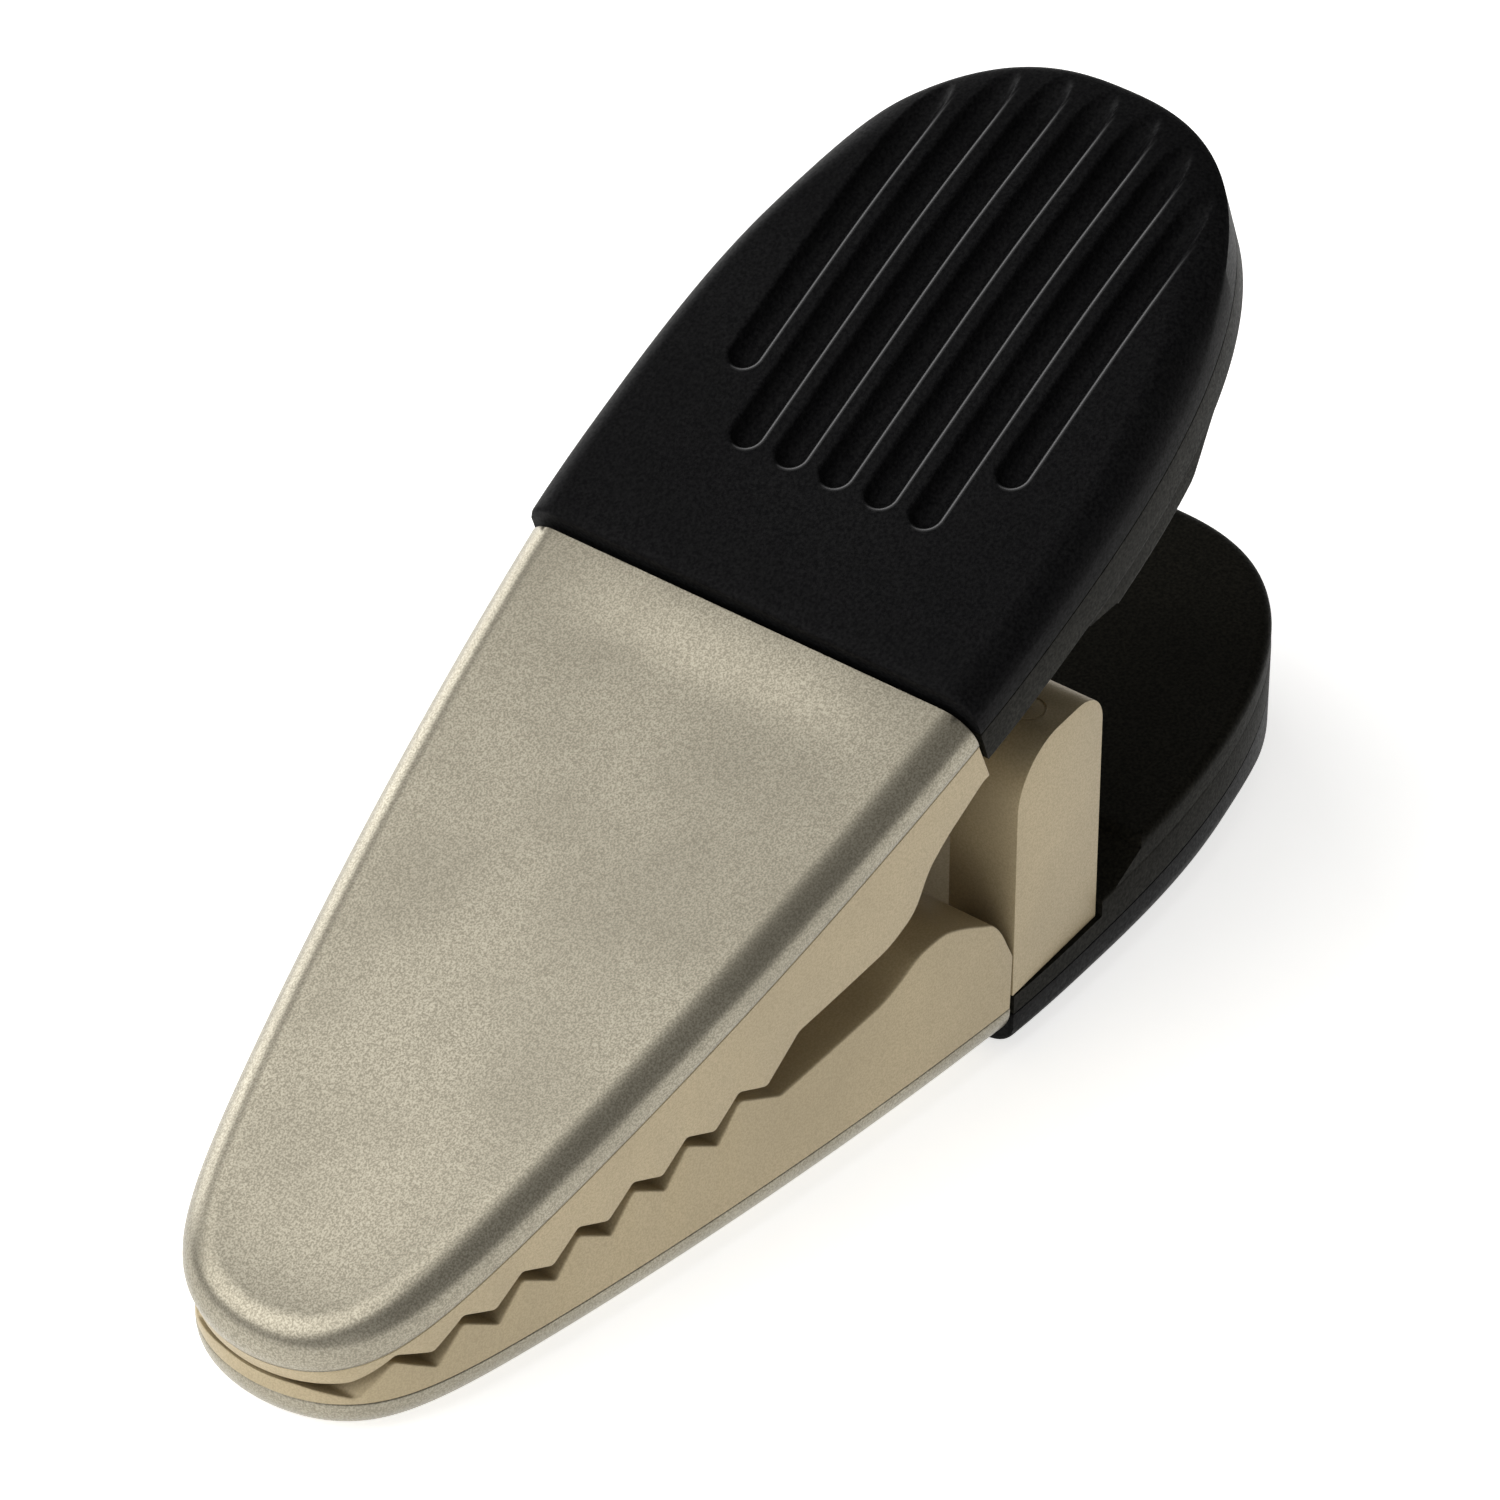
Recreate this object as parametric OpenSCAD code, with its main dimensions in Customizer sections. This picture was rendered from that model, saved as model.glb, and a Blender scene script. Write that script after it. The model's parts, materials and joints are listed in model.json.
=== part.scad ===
// Spring clamp clip: two hinged arms with toothed jaws at the front and ribbed grips at the back.
// Frame: +X from the nose to the grip tips, Y across the clip, +Z up. The clip lies on its lower arm,
// jaws closed, and the origin is on that surface, under the centre of the clip's box.
// Each arm is drawn flat in its own frame, x along the jaw and z outward from its parting plane,
// and is then tilted away from the middle plane. The lower arm is the mirror image of the upper one.

/* [Jaws] */
// Length of each jaw, nose to grip
jaw_len = 57.6; // [50:0.1:65]
// Width of the jaws at their rear end
jaw_w = 35; // [30:0.5:40]
// Tilt of each arm's parting plane from the middle plane, degrees
arm_tilt = 11.7; // [10:0.1:13]
// Height of the parting plane above the middle plane at the nose
nose_gap = 1.4; // [1.2:0.1:2]
// Height of the outer shell above the parting plane
shell_h = 2.75; // [2.4:0.05:3.5]
// Edge radius of the outer shell
shell_r = 2.4; // [1.5:0.1:2.6]
// Wall of the outer shell
shell_wall = 1.4; // [1:0.1:1.6]

/* [Teeth] */
// Distance between teeth
tooth_pitch = 4.65; // [4.2:0.05:5]
// Depth of the lower arm's teeth
lower_tooth_h = 2.2; // [1.6:0.1:2.4]
// Depth of the upper arm's teeth
upper_tooth_h = 1.7; // [1.2:0.1:2]
// Number of tooth tips on the upper arm
tooth_count = 8; // [6:1:8]

/* [Grips] */
// Length of each grip
grip_len = 45.5; // [42:0.5:50]
// Greatest width of the grips
grip_w = 35.6; // [34:0.2:38]
// Turn of each grip towards the other, from its jaw's plane, degrees
grip_turn = 2; // [1:0.5:4]
// Height of the grip cap beside the jaw
cap_front_h = 3.2; // [2.8:0.1:4]
// Height of the grip cap near its tip
cap_rear_h = 5; // [4:0.1:5.5]
// Thickness of the grip's inner plate
base_t = 3; // [2.4:0.1:3.4]
// Height of the raised finger pad on the inner plate
pad_t = 2; // [1:0.1:2.2]
// Number of grooves in each grip
groove_count = 7; // [3:2:7]
// Distance between grooves
groove_pitch = 3.5; // [3:0.1:3.6]
// Width of a groove
groove_w = 2.6; // [2:0.1:2.8]
// Depth of a groove
groove_d = 1.1; // [0.6:0.1:1.2]

/* [Hinge] */
// Length of a hinge ear along the clip
ear_len = 9.65; // [9:0.05:10]
// Thickness of an ear across the clip
ear_t = 5.2; // [4:0.1:5.5]
// Height of the lower ears beyond the pin's axis
ear_top = 6.95; // [6:0.05:7.2]
// Radius of the hinge pin
pin_r = 2; // [1.5:0.1:2.4]
// Wire of the torsion spring
wire_d = 1.5; // [1.2:0.1:1.8]
// Turns of the torsion spring
spring_turns = 6; // [4:1:7]

/* [Hidden] */

silver = [0.66, 0.63, 0.56];
champagne = [0.72, 0.69, 0.60];
black = [0.10, 0.10, 0.11];
steel = [0.60, 0.61, 0.63];

// Places along an arm
grip_gap = 0.35;
grip_lift = 0.8;
handle_tilt = arm_tilt - grip_turn;
grip_x = jaw_len * cos(arm_tilt) - grip_lift * sin(arm_tilt);
grip_z = nose_gap + jaw_len * sin(arm_tilt) + grip_lift * cos(arm_tilt);

// The crown of a grip cap: it rises away from the jaw as far as cap_peak, and then falls to the tip.
// The side wall below it is low beside the jaw and nearly as high as the crown round the tip.
cap_peak = 30;
cap_slope = (cap_rear_h - cap_front_h) / cap_peak;
cap_fall = 0.04;
side_wall_h = 1.6;
tip_round_h = 1.2;
wall_rise_from = 27;
wall_rise_to = 38.5;
function cap_crown(x) = cap_front_h + cap_slope * min(max(x, 0), cap_peak) - cap_fall * max(x - cap_peak, 0);
function ease(t) = t * t * (3 - 2 * t);
function wall_share(x) = ease(min(max((x - wall_rise_from) / (wall_rise_to - wall_rise_from), 0), 1));
function cap_wall(x) = side_wall_h + (cap_crown(x) - tip_round_h - side_wall_h) * wall_share(x);

// Points of an arm or a grip in the middle plane's frame: x from the nose, z outward from that plane
function arm_xz(x, z) = [x * cos(arm_tilt) - z * sin(arm_tilt), nose_gap + x * sin(arm_tilt) + z * cos(arm_tilt)];
function grip_xz(x, z) = [grip_x + x * cos(handle_tilt) - z * sin(handle_tilt),
                          grip_z + x * sin(handle_tilt) + z * cos(handle_tilt)];

// The clip rests on the nose end of its lower shell and on the crown of its lower cap. Its foremost point
// is at nose_angle on the round edge of the upper shell's nose.
nose_rest = arm_xz(shell_r, shell_h);
cap_rest = grip_xz(cap_peak, cap_rear_h);
rest_tilt = atan((cap_rest[1] - nose_rest[1]) / (cap_rest[0] - nose_rest[0]));
function lying_x(p, z) = p[0] * cos(rest_tilt) - z * p[1] * sin(rest_tilt);
nose_angle = 30;
front_x = lying_x(arm_xz(shell_r * (1 - cos(nose_angle)), shell_h - shell_r * (1 - sin(nose_angle))), 1);
rear_x = lying_x(grip_xz(grip_len, cap_wall(grip_len)), -1);
shift_x = -(front_x + rear_x) / 2;
shift_z = nose_rest[1] * cos(rest_tilt) - nose_rest[0] * sin(rest_tilt);

// The hinge axis lies in the middle plane, under the middle of the ears. The outer ears are the lower
// bracket's; the inner ears are the upper bracket's, with ear_play beside them.
ear_start = 0.2;
ear_play = 0.35;
pin_cover = 2;
pivot_u = ear_start + ear_len / 2;
pivot_v = -(grip_z + pivot_u * sin(handle_tilt)) / cos(handle_tilt);
pivot_x = grip_xz(pivot_u, pivot_v)[0];
ear_out = jaw_w / 2;
ear_in = ear_out - ear_t;
inner_ear_out = ear_in - ear_play;
inner_ear_t = 4.6;
inner_ear_in = inner_ear_out - inner_ear_t;
ear_foot = 1.75;
saddle_t = 1.9;
pin_len = 2 * (ear_out - pin_cover);
coil_r = 4.4;

// Radial play of the pin: it is held in the lower ears and turns in the upper ones
held_play = 0.02;
turning_play = 0.06;

// Plan outline of a jaw: a gently bowed taper that closes in a round nose
nose_share = 0.457;
taper = 0.816;
bow = 0.273;
nose_reach = 2.77;
function jaw_side(x) = jaw_w / 2 * (nose_share + taper * x - bow * x * x);
function jaw_half(s) = jaw_side(s / jaw_len) * sqrt(1 - exp(-s / nose_reach));
jaw_steps = 26;
function jaw_s(i) = jaw_len * pow(i / jaw_steps, 2.2);
function jaw_slope(s) = (jaw_half(s + 0.01) - jaw_half(max(s - 0.01, 0))) / (s < 0.01 ? 0.01 + s : 0.02);
// Points of the outline moved inward by d, from the rear left corner round the nose to the rear right
function jaw_point(s, side, d, rear) =
    let (k = jaw_slope(s), n = sqrt(1 + k * k))
    [min(s + d * k / n, rear), side * max(jaw_half(s) - d / n, 0)];
function jaw_outline(d, rear) = concat(
    [for (i = [jaw_steps:-1:1]) jaw_point(jaw_s(i), 1, d, rear)],
    [[d, 0]],
    [for (i = [1:jaw_steps]) jaw_point(jaw_s(i), -1, d, rear)]);

// Plan outline of a grip: half a superellipse behind the widest place, less than half in front of it
grip_mid = 10;
grip_power = 2.5;
grip_steps = 28;
function bulge(v) = pow(max(1 - pow(v, grip_power), 0), 1 / grip_power);
function grip_point(a, scale) =
    [grip_mid + (grip_len - grip_mid) * scale * sign(cos(a)) * pow(abs(cos(a)), 2 / grip_power),
     grip_w / 2 * scale * sign(sin(a)) * pow(abs(sin(a)), 2 / grip_power)];
function grip_outline(inset) = [for (i = [0:2 * grip_steps - 1])
    grip_point(i * 180 / grip_steps, 1 - inset / (grip_w / 2))];

// One closed solid through a stack of rings, each with the same number of points
module loft(rings) {
    count = len(rings[0]);
    last = len(rings) - 1;
    walls = [for (r = [0:last - 1], i = [0:count - 1])
        let (j = (i + 1) % count, low = r * count, high = low + count)
        each [[low + i, high + i, high + j], [low + i, high + j, low + j]]];
    floor_face = [for (i = [0:count - 1]) i];
    roof_face = [for (i = [count - 1:-1:0]) last * count + i];
    polyhedron(points = [for (ring = rings) each ring], faces = concat([floor_face], walls, [roof_face]));
}
function at_height(outline, h) = [for (p = outline) [p[0], p[1], h]];

// Frames: clip() is the middle plane's, with its origin at the nose. In arm() and grip(), z = 1
// places an upper piece and z = -1 its mirror image below.
module clip() {
    translate([shift_x, 0, shift_z]) rotate([0, -rest_tilt, 0]) children();
}
module arm(z) {
    clip() mirror([0, 0, z < 0 ? 1 : 0])
        translate([0, 0, nose_gap]) rotate([0, -arm_tilt, 0]) children();
}
module grip(z) {
    clip() mirror([0, 0, z < 0 ? 1 : 0])
        translate([grip_x, 0, grip_z]) rotate([0, -handle_tilt, 0]) children();
}
// The hinge axis, with z along it
module pivot() {
    clip() translate([pivot_x, 0, 0]) rotate([90, 0, 0]) children();
}
// A side profile drawn in x and z, as thick as w across the clip
module across(w) {
    rotate([90, 0, 0]) linear_extrude(w, center = true) children();
}

// Outer shell of a jaw: an open tray, rounded along its sides and nose
module shell_tray(z) {
    round_steps = 6;
    inside = jaw_outline(shell_wall, jaw_len - shell_wall);
    arm(z) loft(concat(
        [at_height(inside, shell_h - shell_wall), at_height(inside, 0), at_height(jaw_outline(0, jaw_len), 0)],
        [for (k = [0:round_steps])
            let (a = k * 90 / round_steps)
            at_height(jaw_outline(shell_r * (1 - cos(a)), jaw_len), shell_h - shell_r * (1 - sin(a)))]));
}

// Toothed edges, as x and z from the nose, with the middle plane at z = 0. The lower teeth reach past that
// plane by mesh_h, between the upper ones.
first_tooth = 2.25;
upper_tip_z = 0.05;
mesh_h = 0.85;
throat_x = first_tooth + (tooth_count - 1) * tooth_pitch;
function teeth(first, count, root, tip) = [for (i = [0:2 * count - 2])
    [first + i * tooth_pitch / 2, i % 2 == 0 ? tip : root]];
upper_edge = concat(
    [[-2, 40], [-2, upper_tip_z]],
    teeth(first_tooth, tooth_count, upper_tip_z + upper_tooth_h, upper_tip_z),
    [[throat_x + 3.2, 2.5], [46.5, 2.6], [48.9, 3.5], [49.8, 4.7], [50.6, 6.2], [52.7, 7.7], [56.4, 9.5],
     [70, 9.8], [70, 40]]);
lower_edge = concat(
    [[-2, -40], [-2, -0.3], [0.6, -0.3], [first_tooth, mesh_h - lower_tooth_h]],
    teeth(first_tooth + tooth_pitch / 2, tooth_count - 1, mesh_h - lower_tooth_h, mesh_h),
    [[throat_x + 0.9, -1.7], [45.5, -1.8], [47.3, -1.3], [49, -0.6], [51.5, -0.8], [53.4, -2.1], [56.3, -4.6],
     [57.3, -8.8], [57.3, -40]]);

// Inner body of a jaw: a block between the parting plane and the toothed edge, hollow behind the shell
// as far as a floor that stays floor_h from the middle plane
module jaw_block(z, edge, floor_h) {
    rear_play = 0.05;
    roof = 1;
    body_h = 25;
    wall = 2.6;
    hollow_start = 12;
    hollow_rear = jaw_len - 4;
    difference() {
        intersection() {
            arm(z) translate([0, 0, -body_h]) linear_extrude(body_h) polygon(jaw_outline(0, jaw_len - rear_play));
            clip() across(2 * jaw_w) polygon(edge);
        }
        intersection() {
            arm(z) translate([hollow_start, -jaw_w / 2, roof - body_h])
                cube([hollow_rear - hollow_start, jaw_w, body_h]);
            arm(z) translate([0, 0, roof - body_h]) linear_extrude(body_h) polygon(jaw_outline(wall, hollow_rear));
            clip() mirror([0, 0, z < 0 ? 1 : 0]) translate([0, -jaw_w, floor_h]) cube([jaw_len, 2 * jaw_w, body_h]);
        }
    }
}

// Ribbed outer cap of a grip: a pillow cut square at the jaw, with round-ended grooves
module grip_pillow() {
    edge_steps = 7;
    edge_r = 2.2;
    inner_rings = [4.5, 8, 12, 15.5];
    difference() {
        loft(concat(
            [at_height(grip_outline(0), 0)],
            [for (k = [0:edge_steps])
                let (a = k * 90 / edge_steps)
                [for (p = grip_outline(edge_r * (1 - cos(a))))
                    [p[0], p[1], cap_wall(p[0]) + (cap_crown(p[0]) - cap_wall(p[0])) * sin(a)]]],
            [for (inset = inner_rings) [for (p = grip_outline(inset)) [p[0], p[1], cap_crown(p[0])]]]));
        translate([grip_gap - 2 * grip_len, -grip_w, -grip_w]) cube([2 * grip_len, 2 * grip_w, 2 * grip_w]);
    }
}
// A groove is a round cut that starts round, follows the crown to its peak, stays level, and runs out
// before the edge of the cap. Each groove is drawn through rings across it, from centre to centre.
module groove(start, edge_x) {
    r = groove_w / 2;
    lift = r - groove_d;
    run_out = 6;
    edge_room = 1.5;
    sides = 16;
    path = concat(
        [for (a = [15:15:90]) [start - r * cos(a), cap_crown(start) + lift, r * sin(a)]],
        [[cap_peak, cap_rear_h + lift, r],
         [edge_x - edge_room - run_out, cap_rear_h + lift, r],
         [edge_x - edge_room + run_out, cap_rear_h + lift + 2 * groove_d, r]]);
    loft([for (p = path) [for (k = [0:sides - 1])
        let (a = k * 360 / sides)
        [p[0], p[2] * cos(a), p[1] + p[2] * sin(a)]]]);
}
module grip_cap(z) {
    half = (groove_count - 1) / 2;
    inner_start = 11.1;
    outer_start = 16.1;
    grip(z) difference() {
        grip_pillow();
        for (i = [-half:half])
            translate([0, i * groove_pitch, 0])
                groove(abs(i) == half ? outer_start : inner_start,
                       grip_mid + (grip_len - grip_mid) * bulge(abs(i) * groove_pitch / (grip_w / 2)));
    }
}

// Inner plate of a grip, with a raised pad for the fingers. The lower plate is notched for the ears, and
// its pad reaches the tip; the upper plate's pad slopes into it.
module grip_plate(z, notched) {
    pad_start = 11.85;
    slope_start = notched ? grip_len : 23;
    slope_end = notched ? grip_len : 30;
    ear_room = 0.15;
    ear_rear_room = 0.35;
    overlap = 1;
    grip(z) difference() {
        union() {
            translate([0, 0, -base_t]) linear_extrude(base_t) polygon(grip_outline(0));
            intersection() {
                translate([0, 0, -base_t - pad_t]) linear_extrude(base_t + pad_t) polygon(grip_outline(0));
                across(2 * grip_w) polygon([
                    [pad_start, overlap - base_t], [pad_start, -base_t - pad_t],
                    [slope_start, -base_t - pad_t], [slope_end, -base_t], [slope_end, overlap - base_t]]);
            }
        }
        translate([grip_gap - grip_len, -grip_w, -grip_len]) cube([grip_len, 2 * grip_w, 2 * grip_len]);
        if (notched)
            for (side = [0, 1])
                mirror([0, side, 0])
                    translate([0, ear_in - ear_room, -grip_len])
                        cube([ear_start + ear_len + ear_rear_room, grip_w, grip_len - ear_foot + ear_room]);
    }
}

// Side outline of an ear with two rounded corners at its top
module ear_outline(top, front_r, back_r) {
    translate([front_r, top - front_r]) circle(r = front_r, $fn = 96);
    translate([ear_len - back_r, top - back_r]) circle(r = back_r, $fn = 96);
    translate([front_r, 0]) square([ear_len - front_r - back_r, top]);
    square([front_r, top - front_r]);
    translate([ear_len - back_r, 0]) square([back_r, top - back_r]);
}
// Hinge bracket of the lower arm: a saddle on the grip's plate, with two outer ears
module lower_hinge_bracket() {
    reach = -pivot_v + ear_top - ear_foot;
    front_r = 4.5;
    back_r = 2.9;
    bore_room = 0.3;
    overlap = 0.5;
    color(champagne) difference() {
        grip(-1) union() {
            for (side = [-1, 1])
                translate([ear_start, side * (ear_in + ear_out) / 2, -ear_foot])
                    mirror([0, 0, 1]) across(ear_t) ear_outline(reach, front_r, back_r);
            translate([ear_start, -ear_in - overlap, -base_t - saddle_t])
                cube([ear_len, 2 * (ear_in + overlap), saddle_t]);
        }
        pivot() cylinder(r = pin_r + held_play, h = pin_len + 2 * bore_room, center = true, $fn = 64);
    }
}
// Hinge bracket of the upper arm: a saddle with two round-ended inner ears
module upper_hinge_bracket() {
    boss_r = ear_len / 2;
    reach = -pivot_v - base_t;
    color(champagne) difference() {
        grip(1) {
            translate([ear_start, -inner_ear_out, -base_t - saddle_t])
                cube([ear_len, 2 * inner_ear_out, saddle_t]);
            for (side = [-1, 1])
                translate([ear_start, side * (inner_ear_in + inner_ear_out) / 2, -base_t])
                    mirror([0, 0, 1]) across(inner_ear_t) {
                        translate([boss_r, reach]) circle(r = boss_r, $fn = 96);
                        square([ear_len, reach]);
                    }
        }
        pivot() cylinder(r = pin_r + turning_play, h = 2 * jaw_w, center = true, $fn = 64);
    }
}

module lower_jaw_shell() { color(silver) shell_tray(-1); }
module upper_jaw_shell() { color(silver) shell_tray(1); }
module lower_jaw_body() { color(champagne) jaw_block(-1, lower_edge, 4.4); }
module upper_jaw_body() { color(champagne) jaw_block(1, upper_edge, 5); }
module lower_grip_cap() { color(black) grip_cap(-1); }
module upper_grip_cap() { color(black) grip_cap(1); }
module lower_grip_base() { color(black) grip_plate(-1, true); }
module upper_grip_base() { color(black) grip_plate(1, false); }

module hinge_pin() {
    color(steel) pivot() cylinder(r = pin_r, h = pin_len, center = true, $fn = 64);
}

// Torsion spring: the coil's outer form round the pin, and one leg on each grip's plate
module torsion_spring() {
    coil_pitch = 1.05 * wire_d;
    coil_w = spring_turns * coil_pitch;
    leg_len = 17;
    leg_play = 0.05;
    rise = -pivot_v - base_t - pad_t - wire_d / 2 - coil_r - leg_play;
    color(steel) {
        pivot() difference() {
            cylinder(r = coil_r + wire_d / 2, h = coil_w, center = true, $fn = 64);
            cylinder(r = coil_r - wire_d / 2, h = coil_w + 1, center = true, $fn = 64);
        }
        for (z = [-1, 1])
            grip(z) translate([pivot_u, z * (coil_w - wire_d) / 2, pivot_v + coil_r])
                rotate([0, 90 - atan(rise / leg_len), 0])
                    cylinder(d = wire_d, h = norm([leg_len, rise]), $fn = 24);
    }
}

lower_jaw_shell();
lower_jaw_body();
lower_hinge_bracket();
lower_grip_cap();
lower_grip_base();
upper_jaw_shell();
upper_jaw_body();
upper_hinge_bracket();
upper_grip_cap();
upper_grip_base();
hinge_pin();
torsion_spring();
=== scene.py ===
"""Looks of the spring clamp clip: fine meshes, materials, floor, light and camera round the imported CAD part.

Shapes are worked out in millimetres, each in the frame of its arm or its grip, and are placed in metres.
"""
import json
import math

import bmesh
import bpy
import numpy as np
from mathutils import Matrix, Vector
from mathutils.geometry import delaunay_2d_cdt


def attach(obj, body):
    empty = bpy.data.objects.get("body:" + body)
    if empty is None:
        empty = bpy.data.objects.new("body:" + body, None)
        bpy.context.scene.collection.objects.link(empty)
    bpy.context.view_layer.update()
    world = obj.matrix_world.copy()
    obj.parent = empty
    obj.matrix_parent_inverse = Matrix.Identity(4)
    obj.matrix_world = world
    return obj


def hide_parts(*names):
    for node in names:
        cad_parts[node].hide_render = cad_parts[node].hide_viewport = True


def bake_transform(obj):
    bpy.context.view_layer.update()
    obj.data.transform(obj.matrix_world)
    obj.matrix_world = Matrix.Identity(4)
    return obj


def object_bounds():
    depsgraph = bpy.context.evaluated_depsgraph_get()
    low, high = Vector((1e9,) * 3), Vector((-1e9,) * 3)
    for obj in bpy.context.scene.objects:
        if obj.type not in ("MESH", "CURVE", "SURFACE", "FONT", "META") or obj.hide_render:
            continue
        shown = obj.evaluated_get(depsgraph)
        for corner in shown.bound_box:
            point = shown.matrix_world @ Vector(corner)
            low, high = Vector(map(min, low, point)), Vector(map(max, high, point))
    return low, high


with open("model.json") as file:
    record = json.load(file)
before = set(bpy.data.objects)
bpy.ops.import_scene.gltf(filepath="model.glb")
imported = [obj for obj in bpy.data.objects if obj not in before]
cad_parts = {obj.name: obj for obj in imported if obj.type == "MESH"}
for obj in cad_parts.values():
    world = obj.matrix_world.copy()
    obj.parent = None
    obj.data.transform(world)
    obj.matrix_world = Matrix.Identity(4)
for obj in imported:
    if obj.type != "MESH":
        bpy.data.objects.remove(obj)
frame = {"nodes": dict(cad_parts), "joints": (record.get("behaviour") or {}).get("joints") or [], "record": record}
cad_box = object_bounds()

# ---------------------------------------------------------------- sizes, in millimetres
MM = 0.001  # in metres
JAW_LEN = 57.6
JAW_W = 35.0
NOSE_SHARE = 0.457
TAPER = 0.816
BOW = 0.273
NOSE_REACH = 2.77
NOSE_GAP = 1.4
SHELL_H = 2.75
SHELL_R = 2.4
SHELL_WALL = 1.4
SHELL_DISH = 0.22
MOUNT_S = 30.0
FIRST_TOOTH = 2.25
TOOTH_PITCH = 4.65
TOOTH_COUNT = 8
UPPER_TOOTH_H = 1.7
LOWER_TOOTH_H = 2.2
UPPER_TIP_Z = 0.05
MESH_DEPTH = 0.85
BODY_PLAY = 0.05
GRIP_LEN = 45.5
GRIP_W = 35.6
GRIP_TURN = math.radians(2.0)
GRIP_LIFT = 0.8
GRIP_GAP = 0.35
GRIP_MID = 10.0
GRIP_POWER = 2.5
CAP_FRONT_H = 3.2
CAP_REAR_H = 5.0
CAP_PEAK = 30.0
CAP_FALL = 0.04
CAP_FRONT_R = 0.3
CAP_EDGE_R = 2.2
CAP_CREASE = math.radians(16.0)
SIDE_WALL_H = 1.6
TIP_ROUND_H = 1.2
WALL_RISE = (27.0, 38.5)
BASE_T = 3.0
PAD_T = 2.0
PAD_START = 11.85
PAD_INSET = 0.02
PAD_LEAD = 3.0
PAD_RAMP = (22.5, 30.5)
GROOVE_COUNT = 7
GROOVE_PITCH = 3.5
GROOVE_D = 1.1
GROOVE_R = 1.1
GROOVE_EDGE_R = 0.28
GROOVE_START = 11.1
OUTER_GROOVE_START = 16.1
# From the middle of a groove's arc to the middle of its rounded lip, and half of a groove's full width
GROOVE_TO_LIP = GROOVE_R + GROOVE_EDGE_R
GROOVE_HALF = math.sqrt(2 * GROOVE_TO_LIP * GROOVE_D - GROOVE_D ** 2)
EAR_START = 0.2
EAR_LEN = 9.65
EAR_T = 5.2
EAR_FOOT = 1.75
EAR_TOP = 6.95
EAR_SIDE_PLAY = 0.15
EAR_REAR_PLAY = 0.35
MARK_R = (1.0, 1.2)
MARK_D = 0.12
WIRE_R = 0.75
COIL_R = 4.4
SPRING_TURNS = 6
COIL_PITCH = 2 * WIRE_R * 1.05
LEG_LEN = 17.0
LEG_PLAY = 0.05
EDGE_R = 0.12
SEAM = 0.07


# ---------------------------------------------------------------- frames, from the record's mounts
def columns(x_axis, y_axis, z_axis, origin):
    """A matrix from its three axes and its origin."""
    m = Matrix.Identity(4)
    for i, axis in enumerate((x_axis, y_axis, z_axis, origin)):
        for row in range(3):
            m[row][i] = axis[row]
    return m


ACROSS = Vector((0, 1, 0))
MOUNTS = {m["name"]: m for m in frame["record"]["mounts"]}


def arm_frame(side):
    """x along the arm from its nose, z out of its parting plane; side is 1 above and -1 below. In mm."""
    mount = MOUNTS["upper_shell_face" if side > 0 else "lower_shell_face"]
    out = Vector(mount["axis"]).normalized()
    along = Vector((side * out.z, 0, -side * out.x))
    origin = Vector(mount["pos_m"]) - (MOUNT_S * along + SHELL_H * out) * MM
    return columns(along * MM, ACROSS * MM, out * MM, origin)


ARM = {side: arm_frame(side) for side in (1, -1)}


def grip_frame(side):
    """x along the grip from its jaw, z out of the plane between its cap and its plate. In mm."""
    c, s = math.cos(GRIP_TURN), math.sin(GRIP_TURN)
    return ARM[side] @ columns((c, 0, -s), (0, 1, 0), (s, 0, c), (JAW_LEN, 0, GRIP_LIFT))


GRIP = {side: grip_frame(side) for side in (1, -1)}
upper_along, lower_along = (ARM[side].to_3x3() @ Vector((1, 0, 0)) for side in (1, -1))
ARM_TILT = upper_along.angle(lower_along) / 2
HINGE = Vector(frame["joints"][0]["pos_m"])


# ---------------------------------------------------------------- mesh helpers
def new_object(name, mesh):
    """An object in the scene, which holds a mesh, a light or a camera."""
    obj = bpy.data.objects.new(name, mesh)
    bpy.context.collection.objects.link(obj)
    return obj


def finish_mesh(obj, sharp_deg=35):
    """Smooth shading, apart from edges sharper than an angle."""
    obj.data.shade_smooth()
    obj.data.set_sharp_from_angle(angle=math.radians(sharp_deg))
    return obj


def object_from_bmesh(name, bm, matrix, merge_mm=0.002, sharp_deg=35):
    """Closes the seams of a mesh drawn in mm, places it, and turns its faces outward."""
    bmesh.ops.remove_doubles(bm, verts=bm.verts, dist=merge_mm)
    bmesh.ops.dissolve_degenerate(bm, edges=bm.edges, dist=merge_mm / 4)
    bmesh.ops.transform(bm, matrix=matrix, verts=bm.verts)
    bmesh.ops.recalc_face_normals(bm, faces=bm.faces)
    mesh = bpy.data.meshes.new(name)
    bm.to_mesh(mesh)
    bm.free()
    return finish_mesh(new_object(name, mesh), sharp_deg)


def baked(obj):
    """Applies an object's modifiers."""
    graph = bpy.context.evaluated_depsgraph_get()
    mesh = bpy.data.meshes.new_from_object(obj.evaluated_get(graph))
    old = obj.data
    obj.modifiers.clear()
    obj.data = mesh
    bpy.data.meshes.remove(old)
    return obj


def boolean(obj, tool, operation):
    """Joins a tool to an object, or cuts it out, and removes the tool."""
    mod = obj.modifiers.new("cut", "BOOLEAN")
    mod.operation = operation
    mod.solver = "EXACT"
    mod.object = tool
    baked(obj)
    bpy.data.objects.remove(tool)
    return obj


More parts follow.
